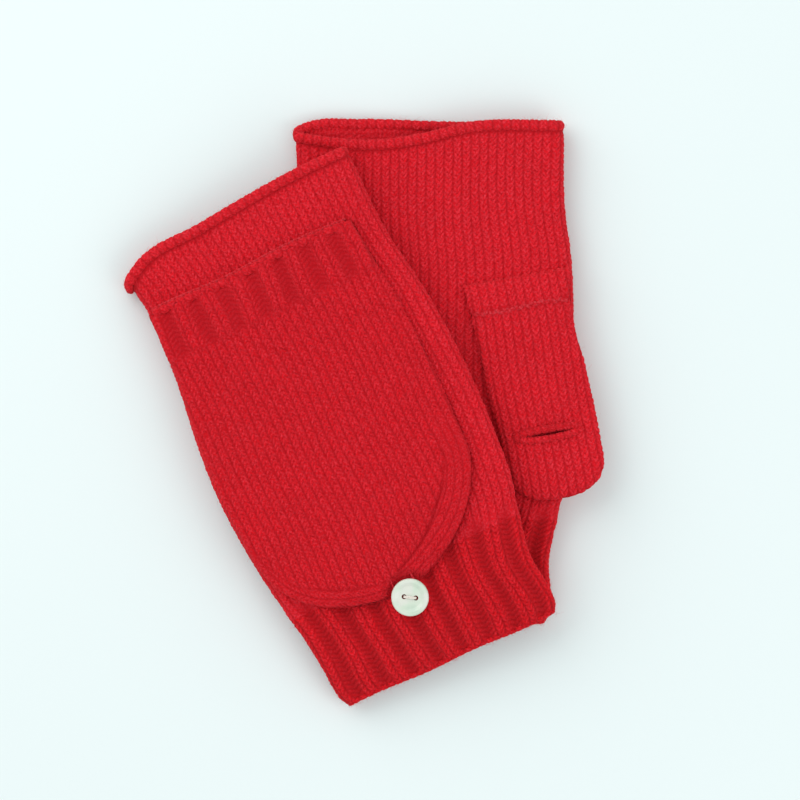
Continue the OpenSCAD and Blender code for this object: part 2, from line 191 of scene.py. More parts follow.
CAP_ROUND = dict(mid=-5, start=74, half_w=49.3, depth=42.5)
CAP_FULLNESS = (2.15, 1.68)       # powers of the round: fuller on the little finger's side
CAP_LEFT = [(74, -54.3), (98, -54.9), (122, -53.2), (146, -50.4), (176, -49.6)]
CAP_RIGHT = [(74, 44.3), (94, 44.8), (114, 44.8), (138, 43.6), (158, 41.6), (176, 40)]
THUMB_LEFT = [(-90, -17), (-66, -17), (-46, -18.9), (-18, -20), (2, -21.5)]
THUMB_RIGHT = [(-90, 22), (-66, 22), (-39, 21), (-18, 19.4), (2, 21.8)]
THUMB_ROUND = dict(start=-74, depth=16)


def curve_at(points, where):
    """A smooth curve through a few (where, value) points."""
    xs, ys = np.array(points, float).T
    slopes = np.gradient(ys, xs)
    i = np.clip(np.searchsorted(xs, where) - 1, 0, len(xs) - 2)
    step = xs[i + 1] - xs[i]
    t = np.clip((where - xs[i]) / step, 0, 1)
    return (ys[i] * (1 + 2 * t) * (1 - t) ** 2 + ys[i + 1] * t * t * (3 - 2 * t)
            + step * (slopes[i] * t * (1 - t) ** 2 - slopes[i + 1] * t * t * (1 - t)))


def hand_sides(side, y):
    spread = RIGHT_SPREAD * np.clip((y - 100) / 50, 0, 1) if side == "right" else 0
    corner = LEFT_CORNER * np.clip((y - 174) / 16, 0, 1) ** 2 if side == "left" else 0
    return curve_at(LITTLE_FINGER_SIDE, y) - spread - corner, curve_at(THUMB_SIDE, y) + spread


def cap_sides(y):
    deep = np.clip((CAP_ROUND["start"] - y) / CAP_ROUND["depth"], 0, 1)
    above = y > CAP_ROUND["start"]
    sides = []
    for way, table, power in ((-1, CAP_LEFT, CAP_FULLNESS[0]), (1, CAP_RIGHT, CAP_FULLNESS[1])):
        half = CAP_ROUND["half_w"] * (1 - deep ** power) ** (1 / power)
        sides.append(np.where(above, curve_at(table, y), CAP_ROUND["mid"] + way * half))
    return tuple(sides)


def thumb_sides(y):
    deep = np.clip((THUMB_ROUND["start"] - y) / THUMB_ROUND["depth"], 0, 1)
    left, right = curve_at(THUMB_LEFT, y), curve_at(THUMB_RIGHT, y)
    middle, half = (left + right) / 2, (right - left) / 2 * (1 - deep ** 2.5) ** 0.4
    return middle - half, middle + half


def outline(sides, low, high, count=400):
    """The closed outline of a cap or thumb as points, evenly spread, for measuring distances to its edge."""
    y = low + (high - low) * (1 - np.cos(np.linspace(0, np.pi / 2, count)))
    left, right = sides(y)
    line = np.concatenate([np.stack([left[::-1], y[::-1]], 1), np.stack([right[1:], y[1:]], 1)])
    run = np.concatenate([[0], np.cumsum(np.linalg.norm(np.diff(line, axis=0), axis=1))])
    even = np.linspace(0, run[-1], count * 2)
    return np.stack([np.interp(even, run, line[:, k]) for k in (0, 1)], 1), even


def edge_distance(x, y, line, run):
    """How far each point lies inside the outline, and how far along the outline its nearest point is."""
    points = np.stack([x.ravel(), y.ravel()], 1)
    nearest, best = np.empty(len(points), int), np.empty(len(points))
    for i in range(0, len(points), 4000):
        gap = np.linalg.norm(points[i:i + 4000, None] - line[None], axis=2)
        nearest[i:i + 4000] = gap.argmin(1)
        best[i:i + 4000] = gap.min(1)
    return best.reshape(x.shape), run[nearest].reshape(x.shape)


CAP_LINE, CAP_RUN = outline(cap_sides, CAP_ROUND["start"] - CAP_ROUND["depth"], 176)
THUMB_LINE, THUMB_RUN = outline(thumb_sides, THUMB_ROUND["start"] - THUMB_ROUND["depth"], 1)
print("round the cap:", round(CAP_RUN[-1]), "mm, round the thumb:", round(THUMB_RUN[-1]), "mm")

# %% [markdown]
# ## Stitches as relief
# Plain knit shows columns of V-shaped stitches, and each V is two short slanting ropes of yarn. A real
# yarn could be laid along every loop as a curve, but a pair of mittens has about twenty thousand loops.
# A bump map would look flat at the edges. A dense grid that is pushed out by a stitch formula sits
# between the two: it has true shape, and every stitch costs only a few dozen points.
#
# The back of plain knit shows purl bumps instead, and two-by-two rib alternates two raised knit
# columns with two sunk purl ones.

# %% Stitch patterns
WALE, COURSE = 3.65, 2.25         # width and height of one plain stitch
STITCH_H = 0.85                   # how far the yarn stands up from the valleys
RIB_REPEAT, RIB_COURSE = 12.4, 2.0
RIB_H = 0.95                      # half of the rise from a purl valley to a knit rib
GRID = 0.46                       # spacing of the cloth's points


def uneven(u, v):
    """A hand-made unevenness, the same each run: a little of this for every stitch."""
    column, row = np.floor(u), np.floor(v)
    return np.sin(1.7 * column + 2.9 * row) * np.sin(3.1 * column - 1.3 * row + 0.7)


def wander(u, v):
    """Columns and rows drift a little as the cloth is pulled about."""
    return (u + 0.11 * np.sin(v / 4.1 + 0.6 * np.sin(u / 2.3)) + 0.03 * np.sin(v * 1.3 + u * 2.1),
            v + 0.16 * np.sin(u / 2.7 + 0.5 * np.sin(v / 4.1)) + 0.06 * np.sin(u * 1.9 - v * 0.8))


def rope(leg):
    """Round section of a yarn across its width: leg runs from -0.5 to 0.5."""
    return np.clip(1 - (2 * leg) ** 2, 0, 1) ** 0.5


def plain_knit(u, v):
    """Height from 0 to 1 over stitch columns u and rows v."""
    u, v = wander(u, v)
    beside = np.abs((u % 1) - 0.5) * 2
    row = v - 1.1 * beside + 0.5
    arch = np.clip(np.sin(np.pi * (0.22 + 0.73 * beside)), 0, 1) ** 0.85
    return (0.1 + 0.9 * rope(row % 1 - 0.5)) * arch * (0.86 + 0.16 * uneven(u * 2, row))


def purl_knit(u, v):
    """Rows of bumps, as on the inner side."""
    u, v = wander(u, v)
    row = v + 0.22 * np.cos(2 * np.pi * u)
    return rope(row % 1 - 0.5) * (0.75 + 0.25 * np.cos(4 * np.pi * u)) * (0.86 + 0.14 * uneven(u, v))


def rib_rise(place):
    """1 on the knit ribs and 0 in the purl valleys, with rounded shoulders; place counts repeats."""
    wave = np.cos(2 * np.pi * (place - 0.29))
    return 1 / (1 + np.exp(-(wave + 0.2) * 3.4))


def two_by_two_rib(x, y):
    """Height from 0 to 1 of the stitches, and the share of rib, at x across and y along."""
    place = x / RIB_REPEAT + 0.03 * np.sin(y / 6.3 + x / 9)
    up = rib_rise(place)
    knit = plain_knit(place / 0.29, y / RIB_COURSE)
    in_valley = np.abs(place % 1 - 0.79) / 0.21
    purl = rope((y / RIB_COURSE - 0.8 * in_valley) % 1 - 0.5) * (0.55 + 0.25 * in_valley)
    share = np.clip((up - 0.25) * 2.2, 0, 1)
    return share * knit + (1 - share) * purl, up


sample = plain_knit(*np.meshgrid(np.linspace(0, 4, 60), np.linspace(0, 4, 60)))
print("a plain stitch's mean height:", round(float(sample.mean()), 2))

# %% [markdown]
# ## From a grid to a mesh
# Each piece of cloth is a grid of points. Its surface normals push the stitches outwards. The mesh is
# filled with whole arrays, because adding a hundred thousand faces one at a time is slow. The grid
# also gives a tidy UV map, one square of the map for each square of cloth. How high a point is on
# its own yarn is kept as a value, its tone, so that painted shade can make the valleys a deeper red.
# Cloth that would dip into the table is pressed flat on it.

# %% Mesh helpers
PRESSED = 0.15 * MM               # cloth on the table keeps this height
PRESSED_GIVE = 0.02               # and this share of what it would have dipped


def grid_normals(points, outward):
    across, along = np.gradient(points, axis=1), np.gradient(points, axis=0)
    normals = np.cross(across, along)
    normals /= np.linalg.norm(normals, axis=2, keepdims=True) + 1e-12
    facing = 1 if (normals @ outward).sum() > 0 else -1
    return normals * facing, facing


def grid_faces(rows, columns, facing, wrap=False):
    i = np.arange(rows * columns).reshape(rows, columns)
    if wrap:
        i = np.concatenate([i, i[:, :1]], axis=1)
    quads = np.stack([i[:-1, :-1], i[:-1, 1:], i[1:, 1:], i[1:, :-1]], -1).reshape(-1, 4)
    return quads if facing > 0 else quads[:, ::-1]


def mesh_piece(name, points, faces, tone, uv):
    mesh = bpy.data.meshes.new(name)
    flat = points.reshape(-1, 3).copy()
    if not np.isfinite(flat).all():
        raise ValueError(name + " has points that are not numbers")
    dips = flat[:, 2] < PRESSED
    flat[:, 2] = np.where(dips, PRESSED - (PRESSED - flat[:, 2]) * PRESSED_GIVE, flat[:, 2])
    mesh.vertices.add(len(flat))
    mesh.vertices.foreach_set("co", flat.astype(np.float32).ravel())
    mesh.loops.add(faces.size)
    mesh.loops.foreach_set("vertex_index", faces.astype(np.int32).ravel())
    mesh.polygons.add(len(faces))
    mesh.polygons.foreach_set("loop_start", np.arange(0, faces.size, 4, dtype=np.int32))
    mesh.polygons.foreach_set("use_smooth", np.ones(len(faces), bool))
    mesh.update(calc_edges=True)
    height = mesh.attributes.new("tone", "FLOAT", "POINT")
    height.data.foreach_set("value", np.asarray(tone, np.float32).ravel())
    layer = mesh.uv_layers.new(name="OFBake")
    layer.data.foreach_set("uv", uv[faces.ravel()].astype(np.float32).ravel())
    piece = bpy.data.objects.new(name, mesh)
    bpy.context.collection.objects.link(piece)
    return piece


def cloth(name, points, tone, outward, rise=0.0):
    """A sheet of cloth from its grid of points. Tone is the stitches' height, 0 to 1, and rise is in mm."""
    normals, facing = grid_normals(points, outward)
    rows, columns = points.shape[:2]
    tone, rise = np.broadcast_to(tone, (rows, columns)), np.broadcast_to(rise, (rows, columns))
    v, u = np.meshgrid(np.linspace(0.01, 0.99, rows), np.linspace(0.01, 0.99, columns), indexing="ij")
    points = points + normals * (STITCH_H * (tone - 0.5) + rise)[..., None] * MM
    uv = np.stack([u.ravel(), v.ravel()], 1)
    piece = mesh_piece(name, points, grid_faces(rows, columns, facing), tone, uv)
    SURFACE[name] = (points, normals)
    return piece


def spaced(length, spacing=GRID):
    return max(3, int(round(length / spacing)) + 1)


SURFACE = {}                      # each cloth's points and normals, for laying loose fibres on later

# %% [markdown]
# ## Rolled edges and cords
# A bound-off edge of plain knit rolls into a soft tube, and so do the slit's lips and the cap's mouth.
# A bevelled curve would give a smooth pipe. Sweeping a ring along the path by hand lets the ring carry
# stitches, and the same sweep makes the seam, the button loop and the sewing thread.
#
# Each ring is set square to the path with the help of one fixed direction, up. Where the path runs along
# up, the ring has no direction and its points are not numbers, or it flips over. So the rolls that go
# round the tube use the mitten's length as up, and the thread uses the direction across its two holes.

# %% Sweep a stitched roll along a path
def even_path(path, spacing, closed=False):
    if closed:
        path = np.concatenate([path, path[:1]])
    run = np.concatenate([[0], np.cumsum(np.linalg.norm(np.diff(path, axis=0), axis=1))])
    count = max(4, int(round(run[-1] / spacing)))
    where = np.linspace(0, run[-1], count + (0 if closed else 1), endpoint=not closed)
    return np.stack([np.interp(where, run, path[:, k]) for k in range(3)], 1), where / MM


def roll(name, path, radius, up, pitch=WALE, slant=1.2, depth=0.35, closed=False, sides=16, spacing=0.5,
         knit=False, squash=(1.0, 1.0)):
    """A tube along path, in metres. Its stitches slant with that pitch and depth in millimetres; a knit
    one has columns of plain stitches round it instead. Up must never run along the path. Squash is the
    share of the radius kept beside the path and in the direction of up."""
    path, run = even_path(np.asarray(path), spacing * MM, closed)
    if closed:
        ahead, behind = np.roll(path, -1, axis=0), np.roll(path, 1, axis=0)
    else:
        ahead, behind = np.concatenate([path[1:], path[-1:]]), np.concatenate([path[:1], path[:-1]])
        closing = np.minimum(np.minimum(run, run[-1] - run) / radius, 1)
        radius = radius * np.sqrt(np.clip(1 - (1 - closing) ** 2, 0.02, 1))
    tangent = ahead - behind
    tangent /= np.linalg.norm(tangent, axis=1, keepdims=True)
    beside = np.cross(tangent, up)
    beside /= np.linalg.norm(beside, axis=1, keepdims=True)
    over = np.cross(beside, tangent)
    angle = np.linspace(0, 2 * np.pi, sides, endpoint=False) - np.pi / 2
    along = run[:, None] / pitch + slant * angle[None] / (2 * np.pi)
    if closed:
        along = along * round(run[-1] / pitch) / (run[-1] / pitch)
    tone = np.abs(np.sin(np.pi * along)) ** 0.6
    if knit:
        rows_round = round(2 * np.pi * float(np.max(radius)) / COURSE)
        tone = plain_knit(run[:, None] / pitch, rows_round * angle[None] / (2 * np.pi))
    ring = (np.asarray(radius).reshape(-1, 1) + depth * (tone - 0.6))[..., None] * MM
    points = path[:, None] + ring * (squash[0] * np.cos(angle)[None, :, None] * beside[:, None]
                                     + squash[1] * np.sin(angle)[None, :, None] * over[:, None])
    rows = len(path)
    u, v = np.meshgrid(np.linspace(0.01, 0.99, sides), np.linspace(0.01, 0.99, rows))
    if closed:
        points = np.concatenate([points, points[:1]])
        tone, rows = np.concatenate([tone, tone[:1]]), rows + 1
        u, v = np.meshgrid(np.linspace(0.01, 0.99, sides), np.linspace(0.01, 0.99, rows))
    SURFACE[name] = (points, points - path[np.arange(rows) % len(path), None])
    tone = tone if knit else 0.25 + 0.5 * tone
    uv = np.stack([u.ravel(), v.ravel()], 1)
    return mesh_piece(name, points, grid_faces(rows, sides, -1, wrap=True), tone, uv)


# %% [markdown]
# ## Wool, shell and thread
# The yarn is soft red wool, lightly felted. Up close its colour is not even: the tops of the stitches
# catch light and fuzz, and the valleys lie in shade. Three layers do this: slow patches of dye, pale
# flecks of painted sheen where fibres stand up, and painted shade by the stitch's own tone. The surface
# is very rough, with a touch of sheen for the fuzz, and a fine bump that breaks up each rope of yarn.

# %% Materials
def new_material(name):
    material = bpy.data.materials.new(name)
    material.use_nodes = True
    nodes = material.node_tree.nodes
    shader = next(n for n in nodes if n.type == "BSDF_PRINCIPLED")
    return material, nodes, material.node_tree.links, shader


def noise(nodes, links, place, scale, detail):
    texture = nodes.new("ShaderNodeTexNoise")
    texture.inputs["Scale"].default_value = scale
    texture.inputs["Detail"].default_value = detail
    links.new(place, texture.inputs["Vector"])
    return texture.outputs["Fac"]


def ramp(nodes, links, value, low, high):
    span = nodes.new("ShaderNodeMapRange")
    span.inputs["From Min"].default_value = low
    span.inputs["From Max"].default_value = high
    links.new(value, span.inputs["Value"])
    return span.outputs["Result"]


def mixed(nodes, links, share, a, b):
    mix = nodes.new("ShaderNodeMix")
    mix.data_type = "RGBA"
    links.new(share, mix.inputs["Factor"])
    for value, socket in ((a, mix.inputs["A"]), (b, mix.inputs["B"])):
        if isinstance(value, tuple):
            socket.default_value = (*value, 1)
        else:
            links.new(value, socket)
    return mix.outputs["Result"]


def wool(name, top, valley_shade):
    """Red wool: the colour on top of the yarn, and the darker colour of painted shade in the deep valleys
    between stitches.
    """
    material, nodes, links, shader = new_material(name)
    place = nodes.new("ShaderNodeTexCoord").outputs["Object"]
    tone = nodes.new("ShaderNodeAttribute")
    tone.attribute_name = "tone"
    # Painted shade: the stitch's tone mixes in the darker valley colour, so the low places between stitches
    # are painted darker.
    height = ramp(nodes, links, tone.outputs["Fac"], 0.02, 0.85)
    patches = ramp(nodes, links, noise(nodes, links, place, 70, 3), 0.30, 0.70)
    # Pale flecks of painted sheen on the tops of the stitches, where fibres stand up and catch light.
    flecks = ramp(nodes, links, noise(nodes, links, place, 1500, 4), 0.42, 0.72)
    fuzz_sheen = tuple(min(1.0, level * share) for level, share in zip(top, (1.06, 6.0, 4.2)))
    dyed = mixed(nodes, links, patches, tuple(level * 0.88 for level in top), top)
    yarn = mixed(nodes, links, flecks, dyed, fuzz_sheen)
    links.new(mixed(nodes, links, height, valley_shade, yarn), shader.inputs["Base Color"])
    shader.inputs["Roughness"].default_value = 0.95
    shader.inputs["Specular IOR Level"].default_value = 0.12
    shader.inputs["Sheen Weight"].default_value = 0.10
    shader.inputs["Sheen Roughness"].default_value = 0.5
    shader.inputs["Sheen Tint"].default_value = (1.0, 0.35, 0.35, 1)
    bump = nodes.new("ShaderNodeBump")
    bump.inputs["Strength"].default_value = 0.5
    bump.inputs["Distance"].default_value = 0.3 * MM
    links.new(noise(nodes, links, place, 1500, 4), bump.inputs["Height"])
    links.new(bump.outputs["Normal"], shader.inputs["Normal"])
    return material


# Each wool: the yarn's own colour on top, then the darker colour painted into the valleys as shade; the rib's
# valleys get the deepest painted shade.
WOOL = {
    "palm_knit": wool("palm wool", (0.77, 0.0075, 0.016), (0.38, 0.0035, 0.008)),
    "cap_knit": wool("cap wool", (0.71, 0.006, 0.013), (0.36, 0.0035, 0.008)),
    "rib_knit": wool("rib wool", (0.78, 0.005, 0.011), (0.26, 0.0025, 0.005)),
    "hem_knit": wool("rolled edge wool", (0.77, 0.0075, 0.016), (0.38, 0.004, 0.008)),
    "seam_yarn": wool("seam wool", (0.70, 0.012, 0.022), (0.28, 0.003, 0.007)),
}


def finish(piece, slot, body, *nodes, blend=None):
    """Gives a piece its wool and ties it to its body, or with blend sets it in place without a body; hides
    the solids that it stands for.
    """
    piece.data.materials.append(WOOL[slot] if slot in WOOL else slot)
    if blend:
        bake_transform(piece)
    else:
        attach(piece, body)
    if nodes:
        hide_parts(*nodes)
    return piece


print("wools:", ", ".join(WOOL))

# %% [markdown]
# ## The hand
# Each hand is one knitted tube laid flat. A flat layer with square edges would look like felt board,
# so each half runs over a rounded fold down to the tube's middle, where it meets the other half. The
# columns of stitches narrow towards the cuff with the outline, and the rows follow the finger opening.

# %% Back and palm of the hand
FOLD_W = 5.5                      # width of the rounded fold at each side
HAND_COLUMNS = 31                 # stitches across one half, folds included
RIBS = 8.4                        # ribs across one half, folds included
EDGE_ROLL = 2.2                   # half the width of the rolled finger edge


def half_tube(mitten, face, y, share, inset=0.0, inner=(0.0, 0.0)):
    """Points across one half of the tube: share 0 to 1 runs from fold to fold, over the flat layer."""
    left, right = hand_sides(mitten.side, y)
    left, right = left + inner[0], right - inner[1]
    fold = 1.35 * FOLD_W
    flat = right - left - 2 * FOLD_W
    run = share * (flat + 2 * fold)
    a = np.clip(run / fold, 0, 1) * np.pi / 2
    b = np.clip((run - fold - flat) / fold, 0, 1) * np.pi / 2
    x = left + FOLD_W * (1 - np.cos(a)) + np.clip(run - fold, 0, flat) + FOLD_W * np.sin(b)
    to_middle = 0.5 * (1 - np.sin(a) * np.cos(b))[..., None]
    lay, other = (mitten.back, mitten.palm) if face == "back" else (mitten.palm, mitten.back)
    return lay(x, y, -inset) * (1 - to_middle) + other(x, y, -inset) * to_middle


def finger_end(mitten, face, x):
    return curve_at(FINGER_EDGE[mitten.side][face], x)


def rib_on_hand(share, y):
    """The rib's stitches and its rise in millimetres; the stitches in the purl valleys are turned down, as
    painted shade.
    """
    tone, up = two_by_two_rib(share * RIBS * RIB_REPEAT, y)
    # Painted shade: the tone in the purl valleys is turned down, so they are darker and a little lower.
    return tone * (0.54 + 0.46 * up), RIB_H * (2 * up - 1)


def hand_half(mitten, face):
    left, right = hand_sides(mitten.side, np.array(110.0))
    share = np.linspace(0, 1, spaced(right - left + 2 * 0.35 * FOLD_W))[None]
    rise = np.linspace(0, 1, spaced(MITTEN_L - CUFF_L))[:, None]
    top = finger_end(mitten, face, left + (right - left) * share) - EDGE_ROLL
    y = CUFF_L + rise * (top - CUFF_L)
    points = half_tube(mitten, face, y, share)
    plain = plain_knit(share * HAND_COLUMNS, rise * (MITTEN_L - CUFF_L) / COURSE)
    # Painted shadow: the stitches just below the rolled finger edge are turned down, so a dark line lies
    # under the roll.
    plain = plain * (1 - 0.65 * np.exp(-(np.clip(top - y - EDGE_ROLL, 0, None) / 1.3) ** 2))
    rib, rib_up = rib_on_hand(share, y)
    from_cuff = np.clip((y - CUFF_L) / 6, 0, 1) ** 1.3
    out = mitten.out if face == "back" else mitten.palm_out
    piece = cloth(f"{mitten.side}_{face}_of_hand", points, plain * from_cuff + rib * (1 - from_cuff), out,
                  rib_up * (1 - from_cuff))
    nodes = [f"{mitten.side}_{face}_panel"] + ([f"{mitten.side}_side_folds"] if face == "back" else [])
    return finish(piece, "palm_knit", mitten.side + "_hand", *nodes)


for mitten in MITTENS:
    for face in ("back", "palm"):
        piece = hand_half(mitten, face)
        print(piece.name, len(piece.data.polygons), "faces")

# %% [markdown]
# ## The ribbed cuff
# The cuff is worked in two-by-two rib, so it pulls in and stands in soft ridges. It is the same tube as
# the hand with a deeper relief. A cast-on edge runs round its end as a thin roll with a slow wave.

# %% Cuffs
CAST_ON_R = 1.0


def cuff_end(x):
    """The cast-on edge droops a little towards the thumb's side."""
    return -1.3 - 0.6 * np.clip(x / 40, -1, 1) + 0.35 * np.sin(x / 6.5)


def cuff_half(mitten, face):
    left, right = hand_sides(mitten.side, np.array(20.0))
    share = np.linspace(0, 1, spaced(right - left + 2 * 0.35 * FOLD_W, 0.42))[None]
    low = cuff_end(left + (right - left) * share) + 1.1
    y = low + np.linspace(0, 1, spaced(CUFF_L, 0.38))[:, None] * (CUFF_L - low)
    points = half_tube(mitten, face, y, share)
    tone, rise = rib_on_hand(share, y)
    settled = 0.35 + 0.65 * np.clip((y - low) / 3, 0, 1)
    out = mitten.out if face == "back" else mitten.palm_out
    piece = cloth(f"{mitten.side}_cuff_{face}_rib", points, tone, out, rise * settled)
    nodes = [f"{mitten.side}_cuff_{face}"] + ([f"{mitten.side}_cuff_side_folds"] if face == "back" else [])
    return finish(piece, "rib_knit", mitten.side + "_hand", *nodes)


def loop_round(mitten, y_at, inset, inner):
    """A closed path round the tube: over the back from side to side and home over the palm."""
    share = np.linspace(0, 1, 160)
    path = []
    for face, order in (("back", 1), ("palm", -1)):
        left, right = hand_sides(mitten.side, np.array(float(y_at(face, 0))))
        y = y_at(face, left + (right - left) * share) * np.ones_like(share)
        path.append(half_tube(mitten, face, y, share, inset, inner)[1:-1][::order])
    return np.concatenate(path)


def cast_on_edge(mitten):
    path = loop_round(mitten, lambda face, x: cuff_end(x) + 0.9, 0.7, (0.6, 0.6))
    piece = roll(mitten.side + "_cast_on_edge", path, CAST_ON_R, mitten.along, pitch=3.1, depth=0.45,
                 closed=True, spacing=GRID, knit=True)
    return finish(piece, "rib_knit", mitten.side + "_hand")


for mitten in MITTENS:
    for face in ("back", "palm"):
        piece = cuff_half(mitten, face)
    print(mitten.side, "cuff:", len(piece.data.polygons), "faces a half;", cast_on_edge(mitten).name)

# %% [markdown]
# ## The finger opening
# The top of the tube is bound off and rolls outwards into a soft edge about 4 mm wide. The inside of
# the tube shows past it, and there plain knit shows its purl side, so a lining of purl relief is laid
# just inside the hand, facing inwards.

# %% Rolled finger edge and inner side
CORNER_FLARE = {"left": -0.3, "right": 0.6}      # how far the roll starts inside the hand's corner


def finger_roll(mitten):
    path = loop_round(mitten, lambda face, x: finger_end(mitten, face, x) - EDGE_ROLL, 0.6,
                      (CORNER_FLARE[mitten.side], 1.4))
    piece = roll(mitten.side + "_finger_roll", path, EDGE_ROLL, mitten.along, pitch=WALE, depth=0.5,
                 closed=True, sides=32, spacing=GRID, knit=True, squash=(0.8, 1.0))
    return finish(piece, "hem_knit", mitten.side + "_hand", mitten.side + "_finger_hem_back",
                  mitten.side + "_finger_hem_palm")


def inner_side(mitten, face):
    share = np.linspace(0, 1, spaced(110, 0.8))[None]
    rise = np.linspace(0, 1, spaced(MITTEN_L, 0.8))[:, None]
    left, right = hand_sides(mitten.side, np.array(190.0))
    top = finger_end(mitten, face, left + (right - left) * share) - EDGE_ROLL
    points = half_tube(mitten, face, 2 + rise * (top - 2), share, 1.5, (1.5, 1.5))
    out = -mitten.out if face == "back" else -mitten.palm_out
    purl = purl_knit(share * HAND_COLUMNS, rise * MITTEN_L / COURSE)
    piece = cloth(f"{mitten.side}_inside_of_{face}", points, purl, out)
    return finish(piece, "palm_knit", mitten.side + "_hand")


for mitten in MITTENS:
    print(finger_roll(mitten).name, inner_side(mitten, "back").name, inner_side(mitten, "palm").name)

# %% [markdown]
# ## The flip-top cap
# The cap is a flat pocket. Its tip is shaped by decreases: the middle columns run straight into a
# slanting groove, and a band of stitches outside the groove follows the edge round. One relief formula
# does both: near the edge it counts stitches from the edge, and elsewhere from the cap's middle.
# The cap hangs on the hand at its mouth. Its front rides with the cap, and its rib, inner layer and mouth
# roll are set in place without a body.

# %% Cap
CAP_LOW = CAP_ROUND["start"] - CAP_ROUND["depth"]
CAP_TOP, CAP_UNDER = 4.0, 0.6     # heights over the back
CAP_MOUTH, CAP_RIB = 175, 22
CAP_ROUNDING = 3.0                # the cap's rim is rounded over this width
MOUTH_R = 1.7
CAP_GROOVE = [(-56, 92), (-51, 70), (-44, 54.5), (-32, 45.2), (-18, 40), (-5, 38), (-1, 40), (14, 48.3),
              (23, 57), (30, 66), (35, 80), (38, 110)]
BUTTON_AT = (-2.4, 28.4)
BUTTON_R = 7.5


def cap_droop(mitten, x, y):
    """The cap sinks a little where the hand below it rounds down to its side fold."""
    left, right = hand_sides(mitten.side, y)
    near = np.clip(np.minimum(x - left, right - x) / FOLD_W, 0, 1)
    return 2.0 * (1 - np.sqrt(1 - (1 - near) ** 2))


def under_button(x, y):
    """0 under the button, where it presses the cap's tip thin, rising to 1 around it."""
    away = np.hypot(x - BUTTON_AT[0], y - BUTTON_AT[1]) - BUTTON_R
    t = np.clip((away - 0.3) / 4.2, 0, 1)
    return t * t * (3 - 2 * t)


def cap_grid(low, high, spacing=GRID):
    y = low + (high - low) * np.linspace(0, 1, spaced(high - low, spacing))
    if low < CAP_ROUND["start"]:
        fine = low + 6 * np.linspace(0, 1, 24) ** 1.8
        y = np.concatenate([fine, y[y > low + 6]])
    share = np.linspace(0, 1, spaced(98, spacing))[None]
    left, right = cap_sides(y[:, None])
    x = left + (right - left) * share
    return x, np.broadcast_to(y[:, None], x.shape)


def cap_stitches(x, y, inside, run):
    """Tone of the stitches and the groove's depth: straight columns above the groove, a band below it."""
    above = y - curve_at(CAP_GROOVE, x)
    slope = (curve_at(CAP_GROOVE, x + 0.5) - curve_at(CAP_GROOVE, x - 0.5))
    away = above / np.sqrt(1 + slope ** 2)
    straight = plain_knit((x - CAP_ROUND["mid"]) / (WALE * 0.97), -y / (COURSE * 0.95))
    around = plain_knit(inside / (WALE * 0.9), (CAP_RUN[-1] / 2 - np.abs(run - CAP_RUN[-1] / 2)) / COURSE)
    band = np.clip(0.5 - away / 1.2, 0, 1) * np.clip((92 - y) / 22, 0, 1)
    firm = np.where(x > BUTTON_AT[0], 1.0, 0.35) * np.clip((86 - y) / 28, 0, 1)
    line = firm * np.exp(-(away / 0.7) ** 2)
    tone = straight * (1 - band) + (0.08 + 0.82 * around) * band
    # Painted shade: the tone is turned down along the groove, so the groove is darker as well as deeper.
    return tone * (1 - 0.6 * line), -0.6 * line


def cap_layer(mitten, name, low, high, top):
    x, y = cap_grid(low, high)
    inside, run = edge_distance(x, y, CAP_LINE, CAP_RUN)
    inside = np.where(y > CAP_ROUND["start"], np.minimum(x - cap_sides(y)[0], cap_sides(y)[1] - x), inside)
    over = np.sqrt(1 - (1 - np.clip(inside / CAP_ROUNDING, 0, 1)) ** 2)
    middle = (CAP_TOP + CAP_UNDER) / 2
    free = under_button(x, y)
    tone, rise = cap_stitches(x, y, inside, run)
    z = middle + ((CAP_TOP if top else CAP_UNDER) - middle) * over - cap_droop(mitten, x, y)
    if top:
        band = np.clip((y - (CAP_MOUTH - CAP_RIB) + 1.5) / 3, 0, 1)
        rib, up = two_by_two_rib(x + 3, -y)
        # Painted shade in the rib's purl valleys, as on the hand.
        tone = tone * (1 - band) + rib * (0.54 + 0.46 * up) * band
        rise = rise + band * (0.5 + RIB_H * (2 * up - 1)) * over
    z, rise = 0.9 + (z - 0.9) * free, rise * free
    # Painted shade under and round the button: the tone there is turned down by a fifth, which also lowers
    # the stitches.
    return cloth(f"{mitten.side}_{name}", mitten.back(x, y, z), tone * (0.8 + 0.2 * free),
                 mitten.out if top else -mitten.out, rise)


def mouth_line(mitten, y, z):
    left, right = cap_sides(np.array(float(CAP_MOUTH)))
    x = np.linspace(left + 1.8, right - 1.8, 120)
    height = z + 0.35 * np.sin(x / 7 + 1) - cap_droop(mitten, x, y + 0 * x)
    return mitten.back(x, y + 0.5 * np.sin(x / 9), height)


def cap_bend(mitten, reach):
    """The two places between which cloth at the cap's mouth turns from the hand to the cap."""
    return (mitten.side + "_hand", mitten.side + "_cap", tuple(mitten.back(-5.0, CAP_MOUTH + 0.4, 1.25)),
            tuple(mitten.back(-5.0, CAP_MOUTH - reach, 1.25)))


